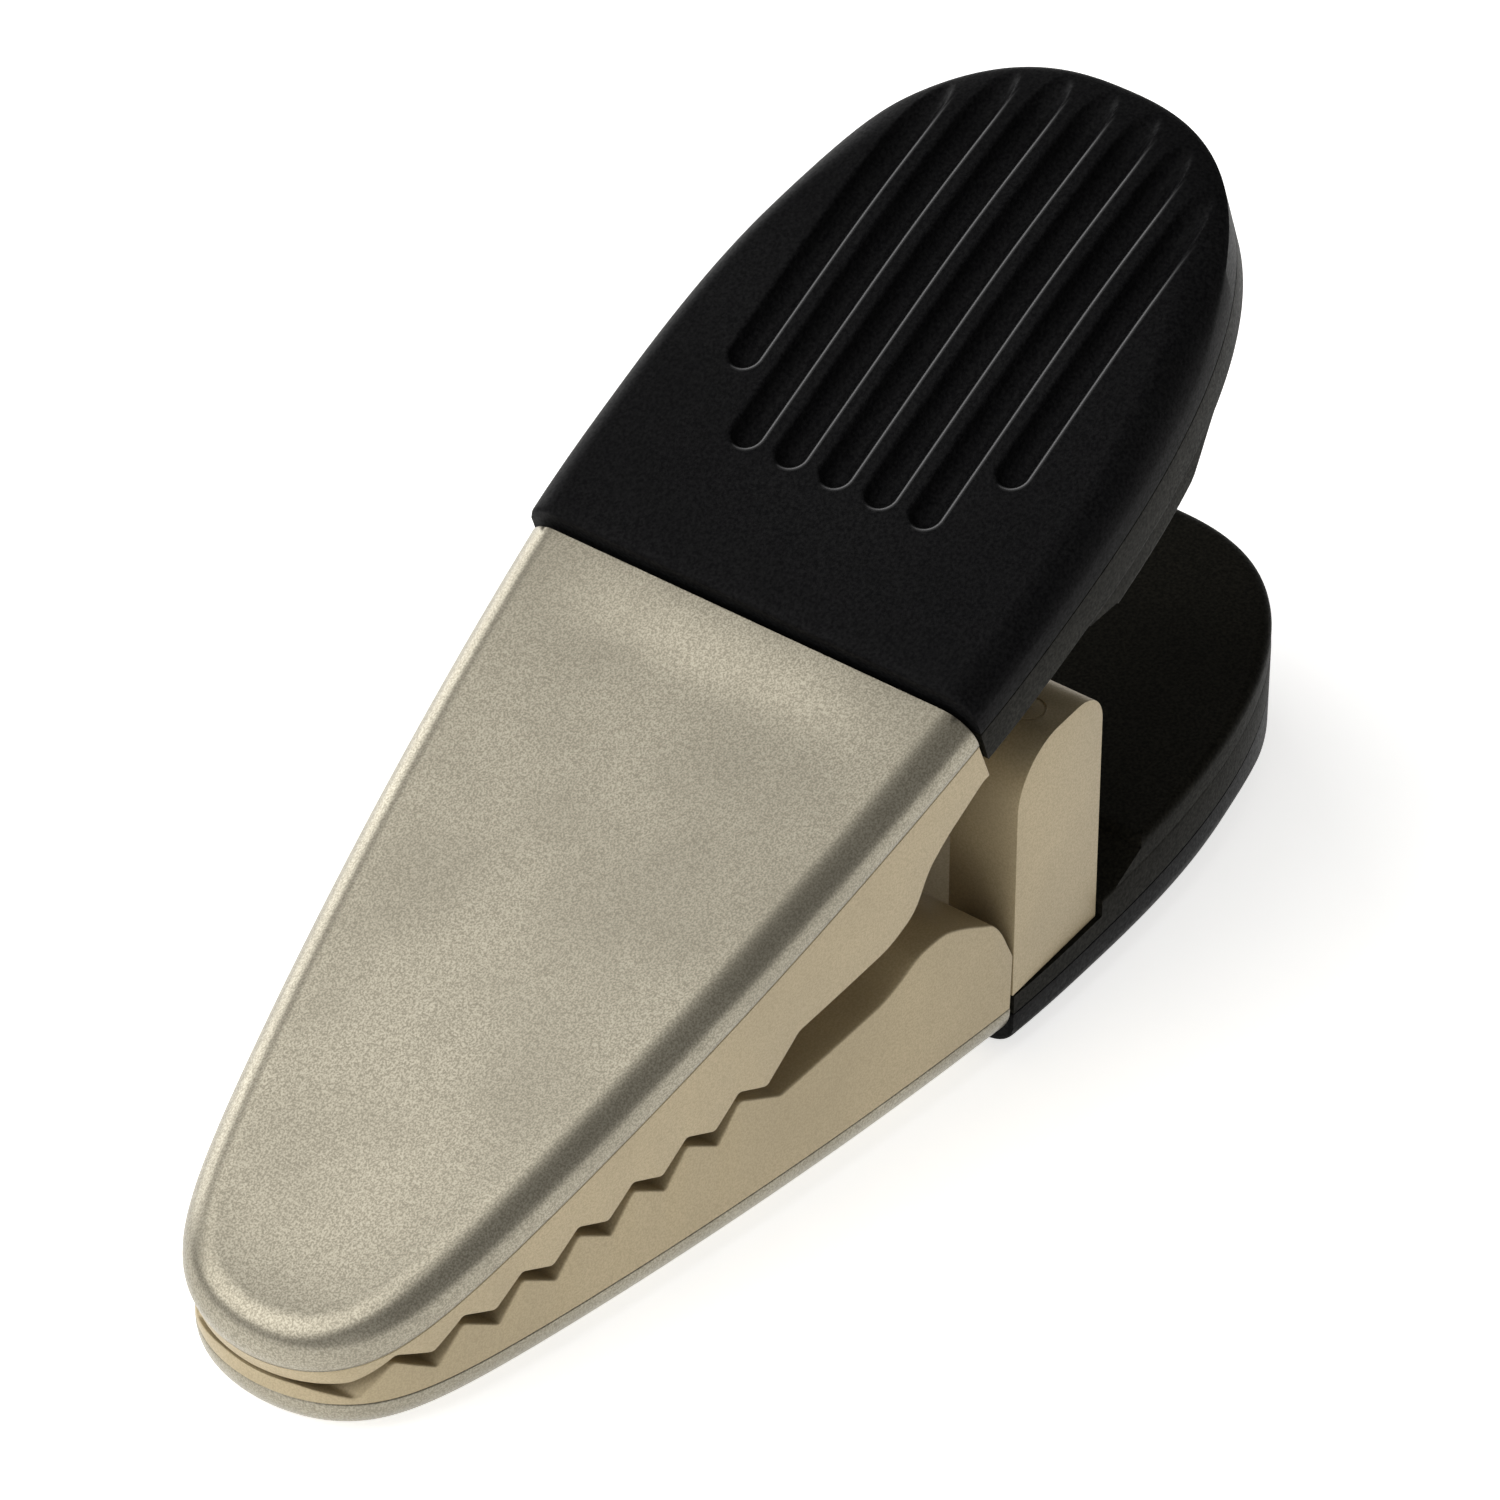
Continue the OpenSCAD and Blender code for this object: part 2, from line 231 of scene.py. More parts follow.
def cad_copy(node, name, edge=0.2, segments=3, angle_deg=40, cutters=()):
    """A new piece with a CAD node's shape and softened edges."""
    mesh = frame["nodes"][node].data.copy()
    mesh.materials.clear()
    obj = new_object(name, mesh)
    bm = bmesh.new()
    bm.from_mesh(mesh)
    bmesh.ops.remove_doubles(bm, verts=bm.verts, dist=0.002 * MM)
    bmesh.ops.dissolve_limit(bm, angle_limit=math.radians(0.5), verts=bm.verts, edges=bm.edges)
    bm.to_mesh(mesh)
    bm.free()
    for cutter in cutters:
        boolean(obj, cutter, "DIFFERENCE")
    bevel = obj.modifiers.new("edge", "BEVEL")
    bevel.width = edge * MM
    bevel.segments = segments
    bevel.limit_method = "ANGLE"
    bevel.angle_limit = math.radians(angle_deg)
    baked(obj)
    return finish_mesh(obj)


def ease(t):
    """A soft step from 0 to 1."""
    t = np.clip(t, 0, 1)
    return t * t * (3 - 2 * t)


def strip(bm, low, high, closed=False):
    """Faces between two rings of vertices."""
    count = len(low)
    for i in range(count if closed else count - 1):
        j = (i + 1) % count
        bm.faces.new((low[i], low[j], high[j], high[i]))


def add_ring(bm, points):
    return [bm.verts.new(p) for p in points]


# ---------------------------------------------------------------- jaws
def jaw_half(s):
    """Half the width of a jaw at s from its nose."""
    x = s / JAW_LEN
    return JAW_W / 2 * (NOSE_SHARE + TAPER * x - BOW * x * x) * np.sqrt(1 - np.exp(-s / NOSE_REACH))


def jaw_inward(s):
    """The unit vector into the jaw, on its +Y side, at s from its nose."""
    low = np.maximum(s - 0.01, 0)
    slope = (jaw_half(s + 0.01) - jaw_half(low)) / (s + 0.01 - low)
    length = np.sqrt(1 + slope ** 2)
    return slope / length, 1 / length


def end_round(s, rear, radius):
    """How far a surface draws in near the rear end, so that its edge is round."""
    into = np.clip(s - (rear - radius), 0, radius)
    return radius - np.sqrt(radius ** 2 - into ** 2)


def stations(rear, count, power=2.2):
    """Places along a jaw: close together at its nose, and at its rear edge."""
    s = rear * np.linspace(0, 1, count) ** power
    s = s[s < rear - 2 * EDGE_R]
    return np.concatenate([s, rear - EDGE_R * (1 - np.sin(np.linspace(0, math.pi / 2, 5)))])


def jaw_ring(s, inset, height, rear):
    """Points of a jaw's outline drawn in by inset: the +Y side from the rear, the nose, the -Y side."""
    nx, ny = jaw_inward(s)
    x = np.minimum(s + inset * nx, rear)
    y = np.maximum(jaw_half(s) - inset * ny, 0)
    height = np.broadcast_to(height, s.shape)
    left = np.stack([x, y, height], 1)
    right = np.stack([x, -y, height], 1)
    return np.concatenate([left[:0:-1], right])


def to_spine(ring, share, reach=8.0):
    """Points of a ring drawn towards the jaw's middle line. They fan out in the nose."""
    x = ring[:, 0]
    middle = x + reach * np.exp(-x / reach) * (1 - x / JAW_LEN)
    spine = np.stack([middle, np.zeros_like(x), ring[:, 2]], 1)
    return spine + (ring - spine) * share


def shell(name, side):
    """Outer shell of a jaw: a tray with a round edge and a slightly dished face."""
    bm = bmesh.new()
    s = stations(JAW_LEN, 150)
    draw_in = end_round(s, JAW_LEN, EDGE_R)
    outer = [jaw_ring(s, SEAM + draw_in, 0.0, JAW_LEN), jaw_ring(s, draw_in, SEAM, JAW_LEN)]
    for a in np.radians(np.linspace(0, 90, 15)):
        inset = SHELL_R * (1 - math.cos(a)) + draw_in * math.cos(a)
        height = SHELL_H - SHELL_R * (1 - math.sin(a)) - draw_in * math.sin(a)
        outer.append(jaw_ring(s, inset, height, JAW_LEN))
    edge = outer[-1]
    for share in np.linspace(1, 0, 17)[1:]:
        ring = to_spine(edge, share)
        ring[:, 2] -= SHELL_DISH * (1 - share ** 2) * ease((JAW_LEN - ring[:, 0]) / 6)
        outer.append(ring)
    rings = [add_ring(bm, ring) for ring in outer]
    for low, high in zip(rings, rings[1:]):
        strip(bm, low, high)
    bm.faces.new([ring[0] for ring in rings] + [ring[-1] for ring in reversed(rings[:-1])])
    inner_edge = jaw_ring(s, SHELL_WALL, SHELL_H - SHELL_WALL, JAW_LEN - SHELL_WALL)
    floor_edge = inner_edge * (1, 1, 0)
    floor_ring, roof_ring = add_ring(bm, floor_edge), add_ring(bm, inner_edge)
    strip(bm, rings[0], floor_ring, closed=True)
    strip(bm, floor_ring, roof_ring, closed=True)
    bm.faces.new(roof_ring)
    return object_from_bmesh(name, bm, ARM[side], sharp_deg=50)


def teeth(first, count, root, tip):
    """Corners of a row of teeth: tip, root, tip and so on."""
    return [(first + i * TOOTH_PITCH / 2, root if i % 2 else tip) for i in range(2 * count - 1)]


# The toothed edges of the closed clip: distance from the nose, and height from the line between the jaws
THROAT = FIRST_TOOTH + (TOOTH_COUNT - 1) * TOOTH_PITCH
UPPER_EDGE = ([(-2, UPPER_TIP_Z)]
              + teeth(FIRST_TOOTH, TOOTH_COUNT, UPPER_TIP_Z + UPPER_TOOTH_H, UPPER_TIP_Z)
              + [(THROAT + 3.2, 2.5), (46.5, 2.6), (48.9, 3.5), (49.8, 4.7), (50.6, 6.2), (52.7, 7.7),
                 (56.4, 9.5), (70, 9.8)])
LOWER_ROOT = MESH_DEPTH - LOWER_TOOTH_H
LOWER_EDGE = ([(-2, -0.3), (0.6, -0.3), (FIRST_TOOTH, LOWER_ROOT)]
              + teeth(FIRST_TOOTH + TOOTH_PITCH / 2, TOOTH_COUNT - 1, LOWER_ROOT, MESH_DEPTH)
              + [(THROAT + 0.9, -1.7), (45.5, -1.8), (47.3, -1.3), (49, -0.6), (51.5, -0.8), (53.4, -2.1),
                 (56.3, -4.6), (57.3, -8.8), (57.5, -12)])


def edge_height(s, edge, side):
    """Height of a toothed edge in its arm's frame, with its corners slightly rounded."""
    c, k = math.cos(ARM_TILT), math.sin(ARM_TILT)
    x = np.array([point[0] for point in edge])
    z = side * np.array([point[1] for point in edge]) - NOSE_GAP
    along, out = x * c + z * k, z * c - x * k
    blend = np.clip((s - THROAT - 2) / 4, 0, 1)
    reach = (0.2 + 0.55 * blend) * np.clip((JAW_LEN - s) / 1.5, 0.1, 1)
    steps = np.linspace(-1, 1, 9)
    return np.mean([np.interp(s + reach * step, along, out) for step in steps], axis=0)


def jaw_body(name, side):
    """Toothed inner body of a jaw: one rounded cross-section carried from the nose to the rear."""
    rear = JAW_LEN - BODY_PLAY
    edge = UPPER_EDGE if side > 0 else LOWER_EDGE
    even = np.arange(0.4, rear - 0.3, 0.12)
    s = np.unique(np.round(np.concatenate([stations(rear, 90), even]), 4))
    draw_in = end_round(s, rear, EDGE_R)
    half = np.maximum(jaw_half(s) - draw_in, 0)
    low = np.minimum(edge_height(s, edge, side) + draw_in, -2 * SEAM)
    round_r = np.minimum(0.16, half / 2)
    seam = np.minimum(SEAM, half / 2)
    section = [(half - seam, -draw_in), (half, -seam - draw_in)]
    for a in np.radians(np.linspace(0, 90, 5)):
        section.append((half - round_r * (1 - math.cos(a)), low + round_r * (1 - math.sin(a))))
    shares = (0.97, 0.9, 0.6, 0.3, 0.0)
    section += [(half * share - round_r * share, low) for share in shares]
    section += [(-y, z) for y, z in section[-2::-1]]
    bm = bmesh.new()
    rows = [add_ring(bm, [(s[i], y[i], z[i]) for y, z in section]) for i in range(len(s))]
    for a, b in zip(rows, rows[1:]):
        strip(bm, a, b, closed=True)
    bm.faces.new(rows[-1])
    bm.faces.new(rows[0])
    return object_from_bmesh(name, bm, ARM[side])


# ---------------------------------------------------------------- grips
def grip_loop(inset, front, count=240):
    """Points of a grip's outline drawn in by inset, from its front end on +Y round its tip to -Y."""
    scale = 1 - inset / (GRIP_W / 2)
    reach = (GRIP_LEN - GRIP_MID) * scale
    ahead = min(max((front - GRIP_MID) / reach, -1), 1)
    cut = math.acos(math.copysign(abs(ahead) ** (GRIP_POWER / 2), ahead))
    a = np.linspace(cut, -cut, count)
    x = GRIP_MID + reach * np.sign(np.cos(a)) * np.abs(np.cos(a)) ** (2 / GRIP_POWER)
    y = GRIP_W / 2 * scale * np.sign(np.sin(a)) * np.abs(np.sin(a)) ** (2 / GRIP_POWER)
    return np.stack([x, y], 1)


def crown(u):
    """Height of a cap along its middle line: it rises from the jaw, and falls softly to the tip."""
    slope = (CAP_REAR_H - CAP_FRONT_H) / CAP_PEAK
    soft = 2.5
    turn = soft * np.log1p(np.exp((u - CAP_PEAK) / soft))
    return CAP_FRONT_H + slope * u - (slope + CAP_FALL) * turn


def side_wall(u):
    """Height of a cap's side wall: low beside the jaw, and nearly as high as the crown round the tip."""
    share = ease((u - WALL_RISE[0]) / (WALL_RISE[1] - WALL_RISE[0]))
    return SIDE_WALL_H + (crown(u) - TIP_ROUND_H - SIDE_WALL_H) * share


def inset_at(u, y):
    """How far inside a grip's outline a point lies."""
    power = GRIP_POWER
    scale = ((np.abs(u - GRIP_MID) / (GRIP_LEN - GRIP_MID)) ** power
             + (np.abs(y) / (GRIP_W / 2)) ** power) ** (1 / power)
    return (1 - scale) * GRIP_W / 2


def pillow(u, y):
    """Height of a cap without its grooves."""
    share = np.clip(inset_at(u, y) / CAP_EDGE_R, 0, 1)
    cosine = math.cos(CAP_CREASE) * (1 - share)
    start = math.sin(CAP_CREASE)
    rise = (np.sqrt(1 - cosine ** 2) - start) / (1 - start)
    into = np.clip(CAP_FRONT_R - (u - GRIP_GAP), 0, CAP_FRONT_R)
    front = CAP_FRONT_R - np.sqrt(CAP_FRONT_R ** 2 - into ** 2)
    wall = side_wall(u)
    return wall + (crown(u) - wall) * rise - front


def groove_starts():
    """Each groove's middle line and where it starts. The outer two start further back."""
    half = GROOVE_COUNT // 2
    return [(i * GROOVE_PITCH, OUTER_GROOVE_START if abs(i) == half else GROOVE_START)
            for i in range(-half, half + 1)]


def groove_depth(away, depth):
    """Depth of a groove's surface at a distance from its middle, where its full depth is depth."""
    depth = np.maximum(depth, 0)
    half = np.sqrt(np.maximum(2 * GROOVE_TO_LIP * depth - depth ** 2, 1e-9))
    foot = half * GROOVE_R / GROOVE_TO_LIP
    bottom = depth - GROOVE_R + np.sqrt(np.maximum(GROOVE_R ** 2 - away ** 2, 0))
    lip = GROOVE_EDGE_R - np.sqrt(np.maximum(GROOVE_EDGE_R ** 2 - (half - away) ** 2, 0))
    return np.where(away < foot, bottom, np.where(away < half, lip, 0))


def cap_height(u, y):
    """Height of a cap with its grooves, which are equally deep as far as their gentle end near the edge."""
    height = pillow(u, y)
    run_out = np.sin(np.clip((inset_at(u, y) - 0.5) / 2.6, 0, 1) * math.pi / 2)
    for middle, start in groove_starts():
        away = np.hypot(np.minimum(u - start, 0), y - middle)
        height -= groove_depth(away, GROOVE_D * run_out)
    return height


def lip_highlight_share(u, y):
    """Share of painted highlight at a point of a cap, from 0 to 1: the groove lips that face the key light, on -Y
    and in front.
    """
    share = np.zeros_like(u)
    for middle, start in groove_starts():
        ahead = np.minimum(u - start, 0)
        away = np.maximum(np.hypot(ahead, y - middle), 1e-6)
        facing = np.clip(-(1.1 * (y - middle) + 0.4 * ahead) / away, 0, 1)
        line = np.clip(1 - np.abs(away - GROOVE_HALF + 0.08) / 0.1, 0, 1)
        share = np.maximum(share, facing * line)
    return share * ease((inset_at(u, y) - 1.2) / 2.2)


def cap_plan():
    """Points and lines of a cap's plan: its outline's rings, its front edge, and its grooves' contours."""
    points, lines = [], []

    def add_line(coords):
        first = len(points)
        points.extend(coords)
        lines.extend((first + i, first + i + 1) for i in range(len(coords) - 1))

    for a in np.linspace(CAP_CREASE, math.pi / 2, 13):
        inset = CAP_EDGE_R * (1 - math.cos(a) / math.cos(CAP_CREASE))
        add_line(grip_loop(inset, GRIP_GAP))
    for step in (0.0, 0.02, 0.07, 0.15, 0.3, 1.0):
        u = GRIP_GAP + step
        y = abs(grip_loop(0.15 if step else 0, u)[0, 1])
        add_line([(u, k) for k in np.linspace(-y, y, 61)])
    foot = GROOVE_HALF * GROOVE_R / GROOVE_TO_LIP
    lip = [foot + (GROOVE_HALF - foot) * k for k in (0.2, 0.45, 0.7, 1.0)]
    lanes = [0.25, 0.5, 0.75, 0.92, foot] + lip + [GROOVE_HALF + 0.12]
    bow = np.linspace(math.pi / 2, 3 * math.pi / 2, 25)
    from_tip = grip_loop(0.3, GRIP_GAP)[120::-1]
    for middle, start in groove_starts():
        for away in [0.0] + lanes:
            rows = []
            for y in (middle + away, middle - away):
                end = np.interp(abs(y), from_tip[:, 1], from_tip[:, 0])
                rows.append([(u, y) for u in np.linspace(start, end, 34)])
            if away == 0.0:
                add_line(rows[0])
                continue
            arc = [(start + away * math.cos(a), middle + away * math.sin(a)) for a in bow]
            add_line(rows[0][::-1] + arc[1:-1] + rows[1])
    return points, lines


def grip_cap(name, side):
    """Ribbed outer cap of a grip."""
    points, lines = cap_plan()
    plan, _, faces, _, _, _ = delaunay_2d_cdt([Vector(p) for p in points], lines, [], 1, 1e-5)
    u = np.array([p.x for p in plan])
    y = np.array([p.y for p in plan])
    height = cap_height(u, y)
    bm = bmesh.new()
    # The lip layer carries each vertex's share of painted highlight on the groove lips.
    lip = bm.verts.layers.float.new("lip")
    verts = [bm.verts.new(p) for p in zip(u, y, height)]
    for v, share in zip(verts, lip_highlight_share(u, y)):
        v[lip] = share
    for face in faces:
        bm.faces.new([verts[i] for i in face])
    bmesh.ops.remove_doubles(bm, verts=bm.verts, dist=0.004)
    rim = [e for e in bm.edges if e.is_boundary]
    for drop_to, inset in ((SEAM, 0.0), (0.0, SEAM)):
        made = bmesh.ops.extrude_edge_only(bm, edges=rim)["geom"]
        for v in (g for g in made if isinstance(g, bmesh.types.BMVert)):
            shrink = 1 - inset / (GRIP_W / 2)
            u = max(GRIP_MID + (v.co.x - GRIP_MID) * shrink, GRIP_GAP + inset)
            v.co = (u, v.co.y * shrink, drop_to)
        rim = [g for g in made if isinstance(g, bmesh.types.BMEdge) and g.is_boundary]
    bmesh.ops.contextual_create(bm, geom=rim)
    return object_from_bmesh(name, bm, GRIP[side], merge_mm=0.003, sharp_deg=28)


def slab(rings, front):
    """A closed solid in a grip's plan, from (inset, front cut, height). It starts at front."""
    bm = bmesh.new()
    loops = []
    for inset, cut, z in rings:
        loops.append(add_ring(bm, [(x, y, z) for x, y in grip_loop(inset, front + cut)]))
    for low, high in zip(loops, loops[1:]):
        strip(bm, low, high, closed=True)
    bm.faces.new(loops[0])
    bm.faces.new(loops[-1])
    return bm


def quarter(radius, inset, height, steps=5):
    """Rings of a round lower edge: (inset, front cut, height)."""
    rings = []
    for a in np.linspace(0, math.pi / 2, steps):
        cut = radius * (1 - math.cos(a))
        rings.append((inset + cut, cut, height + radius * (1 - math.sin(a))))
    return rings


def box_object(low, high, matrix):
    """A box between two corners, for cutting."""
    bm = bmesh.new()
    bmesh.ops.create_cube(bm, size=1)
    size = Vector(high) - Vector(low)
    middle = (Vector(high) + Vector(low)) / 2
    for v in bm.verts:
        v.co = Vector((v.co.x * size.x, v.co.y * size.y, v.co.z * size.z)) + middle
    return object_from_bmesh("cutter", bm, matrix)


def pad_ramp(side):
    """The space under a finger pad's rear end, which slopes into the plate."""
    start, end = PAD_RAMP
    slope = []
    for k in np.linspace(0, 1, 25):
        left = PAD_T * (0.5 + 0.5 * math.cos(math.pi * k))
        slope.append((start + (end - start) * k, 0.25 * k - left))
    profile = [(start, -9.0)] + slope + [(GRIP_LEN + 1, 0.25), (GRIP_LEN + 1, -9.0)]
    bm = bmesh.new()
    walls = [add_ring(bm, [(u, y, z - BASE_T) for u, z in profile]) for y in (-GRIP_W, GRIP_W)]
    strip(bm, walls[0], walls[1], closed=True)
    for wall in walls:
        bm.faces.new(wall)
    return object_from_bmesh("ramp", bm, GRIP[side])


def grip_base(name, side):
    """Inner plate of a grip with its finger pad. The upper pad slopes away. The lower plate is notched."""
    plate = slab([(SEAM, SEAM, 0.0), (0.0, 0.0, -SEAM)] + quarter(0.25, 0.0, -BASE_T), GRIP_GAP)
    obj = object_from_bmesh(name, plate, GRIP[side])
    round_edge = quarter(0.7, PAD_INSET, -BASE_T - PAD_T, 7)
    round_edge = [(inset, cut + PAD_LEAD, z) for inset, cut, z in round_edge]
    pad = slab([(PAD_INSET, 0.0, -BASE_T + 0.5), (PAD_INSET, 0.0, -BASE_T)] + round_edge, PAD_START)
    pad = object_from_bmesh("pad", pad, GRIP[side])
    if side > 0:
        boolean(pad, pad_ramp(side), "DIFFERENCE")
    boolean(obj, pad, "UNION")
    if side < 0:
        ear_in = JAW_W / 2 - EAR_T - EAR_SIDE_PLAY
        ear_rear = EAR_START + EAR_LEN + EAR_REAR_PLAY
        for hand in (-1, 1):
            low, high = sorted((hand * ear_in, hand * (ear_in + 20)))
            top = -EAR_FOOT + EAR_SIDE_PLAY
            notch = box_object((GRIP_GAP - 1, low, -20), (ear_rear, high, top), GRIP[side])
            boolean(obj, notch, "DIFFERENCE")
    return finish_mesh(obj)


# ---------------------------------------------------------------- hinge
def spring_leg(side):
    """Where a leg leaves the coil, where it ends on its grip's plate, and the coil's angle there. In mm."""
    turn = GRIP[side].to_3x3()
    along = (turn @ Vector((1, 0, 0))).normalized()
    out = (turn @ Vector((0, 0, 1))).normalized()
    start = HINGE / MM + COIL_R * out
    to_grip = GRIP[side].inverted() @ HINGE
    rise = -to_grip.z - BASE_T - PAD_T - WIRE_R - COIL_R - LEG_PLAY
    return start, start + LEG_LEN * along + rise * out, math.atan2(out.z, out.x)


def torsion_spring(name):
    """Coiled wire round the pin, with one leg on each grip's plate."""
    half_w = SPRING_TURNS * COIL_PITCH / 2 - WIRE_R
    upper_start, upper_end, upper_angle = spring_leg(1)
    lower_start, lower_end, lower_angle = spring_leg(-1)
    sweep = 2 * math.pi * (SPRING_TURNS - 1) + (upper_angle - lower_angle) % (2 * math.pi)
    points = []
    for k in np.linspace(1, 0.12, 8):
        p = lower_start.lerp(lower_end, k)
        points.append((p.x, -half_w, p.z))
    steps = 48 * SPRING_TURNS
    for i in range(steps + 1):
        a = lower_angle + sweep * i / steps
        y = -half_w + 2 * half_w * i / steps
        points.append((HINGE.x / MM + COIL_R * math.cos(a), y, HINGE.z / MM + COIL_R * math.sin(a)))
    for k in np.linspace(0.12, 1, 8):
        p = upper_start.lerp(upper_end, k)
        points.append((p.x, half_w, p.z))
    return tube(name, [Vector(p) for p in points], WIRE_R)


def tube(name, path, radius, sides=16):
    """A round wire along a path in mm, with rounded ends."""
    bm = bmesh.new()
    last = len(path) - 1
    tangents = [(path[min(i + 1, last)] - path[max(i - 1, 0)]).normalized() for i in range(len(path))]
    normal = tangents[0].cross(ACROSS).normalized()
    rings = []
    for i, (p, t) in enumerate(zip(path, tangents)):
        normal = (normal - t * normal.dot(t)).normalized()
        other = t.cross(normal)
        ends = [(p, radius)]
        if i in (0, last):
            sign = -1 if i == 0 else 1
            round_r = radius * 0.3
            ends = [(p, radius), (p + sign * t * round_r * 0.7, radius - round_r * 0.3),
                    (p + sign * t * round_r, radius - round_r)]
            ends = ends[::-1] if i == 0 else ends
        for centre, r in ends:
            angles = [2 * math.pi * k / sides for k in range(sides)]
            rings.append(add_ring(bm, [centre + r * (math.cos(a) * normal + math.sin(a) * other)
                                       for a in angles]))
    for a, b in zip(rings, rings[1:]):
        strip(bm, a, b, closed=True)
    bm.faces.new(rings[0])
    bm.faces.new(rings[-1])
    return object_from_bmesh(name, bm, Matrix.Scale(MM, 4), sharp_deg=60)


# ---------------------------------------------------------------- materials
# Grey of the painted highlight along the groove lips that face the key light.
LIP_HIGHLIGHT_GREY = (0.2, 0.2, 0.205)


class Nodes:
    """A material and the few node shapes that the finishes share."""

    def __init__(self, name):
        self.material = bpy.data.materials.new(name)
        self.material.use_nodes = True
        self.tree = self.material.node_tree
        self.shader = self.tree.nodes["Principled BSDF"]
        self.coords = self.tree.nodes.new("ShaderNodeTexCoord")

    def link(self, out, into):
        self.tree.links.new(out, into)

    def noise(self, scale, detail=2.0, roughness=0.5):
        node = self.tree.nodes.new("ShaderNodeTexNoise")
        node.inputs["Scale"].default_value = scale
        node.inputs["Detail"].default_value = detail
        node.inputs["Roughness"].default_value = roughness
        self.link(self.coords.outputs["Object"], node.inputs["Vector"])
        return node.outputs["Fac"]

    def ramp(self, value, stops):
        node = self.tree.nodes.new("ShaderNodeValToRGB")
        node.color_ramp.elements[0].position = stops[0][0]
        node.color_ramp.elements[0].color = (*stops[0][1], 1)
        node.color_ramp.elements[1].position = stops[-1][0]
        node.color_ramp.elements[1].color = (*stops[-1][1], 1)
        for place, colour in stops[1:-1]:
            node.color_ramp.elements.new(place).color = (*colour, 1)
        self.link(value, node.inputs["Fac"])
        return node.outputs["Color"]

    def span(self, value, low, high, out_low, out_high):
        node = self.tree.nodes.new("ShaderNodeMapRange")
        numbers = {"From Min": low, "From Max": high, "To Min": out_low, "To Max": out_high}
        for name, number in numbers.items():
            node.inputs[name].default_value = number
        self.link(value, node.inputs["Value"])
        return node.outputs["Result"]

    def mix(self, factor, a, b, blend="MIX"):
        node = self.tree.nodes.new("ShaderNodeMix")
        node.data_type = "RGBA"
        node.blend_type = blend
        for name, value in (("Factor", factor), ("A", a), ("B", b)):
            socket = node.inputs[name]
            if isinstance(value, (int, float)):
                socket.default_value = value
            elif isinstance(value, tuple):
                socket.default_value = (*value, 1)
            else:
                self.link(value, socket)
        return node.outputs["Result"]

    def attribute(self, name):
        node = self.tree.nodes.new("ShaderNodeAttribute")
        node.attribute_name = name
        return node.outputs["Fac"]

    def wear(self):
        """Sparse small scuffs, from 0 to 0.6."""
        return self.span(self.noise(650, detail=5.0, roughness=0.7), 0.69, 0.76, 0, 0.6)

    def bump(self, height, distance_mm, strength, below=None):
        node = self.tree.nodes.new("ShaderNodeBump")
        node.inputs["Distance"].default_value = distance_mm * MM
        node.inputs["Strength"].default_value = strength
        self.link(height, node.inputs["Height"])
        if below:
            self.link(below, node.inputs["Normal"])
        return node.outputs["Normal"]

    def done(self, colour, roughness, normal, metallic=0.0, specular=0.5):
        self.link(colour, self.shader.inputs["Base Color"])
        self.link(roughness, self.shader.inputs["Roughness"])
        self.link(normal, self.shader.inputs["Normal"])
        self.shader.inputs["Metallic"].default_value = metallic
        self.shader.inputs["Specular IOR Level"].default_value = specular
        return self.material


def metal_paint(name, dark, light, metallic, rough, grain):
    """Satin paint with fine metal flakes: speckled and faintly clouded, with sparse brighter scuffs."""
    n = Nodes(name)
    flakes = n.noise(7500, detail=1.0)
    clouds = n.noise(95, detail=3.0)
    between = tuple((a + b) / 2 for a, b in zip(dark, light))
    speckle = n.ramp(flakes, [(0.36, dark), (0.5, between), (0.64, light)])
    clouded = n.mix(n.span(clouds, 0.38, 0.62, 0.0, 0.3), speckle, tuple(0.8 * c for c in dark))
    colour = n.mix(n.wear(), clouded, tuple(min(1.08 * c, 1) for c in light))
    roughness = n.span(flakes, 0.3, 0.7, rough + 0.05, rough - 0.05)
    fine = n.bump(flakes, 0.02, grain)
    normal = n.bump(clouds, 0.05, 0.12, fine)
    return n.done(colour, roughness, normal, metallic)


def moulded_black(name, dark, light, rough, grain, grooved=False):
    """Black plastic with a fine eroded grain and sparse scuffs. Grooved adds painted highlight lines on the groove
    lips that face the key light.
    """
    n = Nodes(name)
    pits = n.noise(4200, detail=2.0, roughness=0.6)
    clouds = n.noise(120, detail=3.0)
    colour = n.ramp(pits, [(0.35, dark), (0.68, light)])
    colour = n.mix(n.span(clouds, 0.35, 0.7, 0.0, 0.3), colour, tuple(0.6 * c for c in dark))
    colour = n.mix(n.wear(), colour, tuple(2 * c for c in light))
    if grooved:
        # Painted highlight: the lip layer lightens the groove lips that face the key light.
        colour = n.mix(n.attribute("lip"), colour, LIP_HIGHLIGHT_GREY)
    roughness = n.span(pits, 0.3, 0.7, rough + 0.08, rough - 0.06)
    normal = n.bump(clouds, 0.04, 0.1, n.bump(pits, 0.025, grain))
    return n.done(colour, roughness, normal, specular=0.025)


def drawn_steel(name, tone, rough):
    """Drawn steel: fine lines of roughness, with faint stains."""
    n = Nodes(name)
    lines = n.noise(2600, detail=2.0)
    stains = n.noise(240, detail=4.0)
    colour = n.ramp(stains, [(0.3, tuple(0.75 * c for c in tone)), (0.7, tone)])
    roughness = n.span(lines, 0.3, 0.7, rough - 0.07, rough + 0.1)
    return n.done(colour, roughness, n.bump(lines, 0.01, 0.3), metallic=1.0)


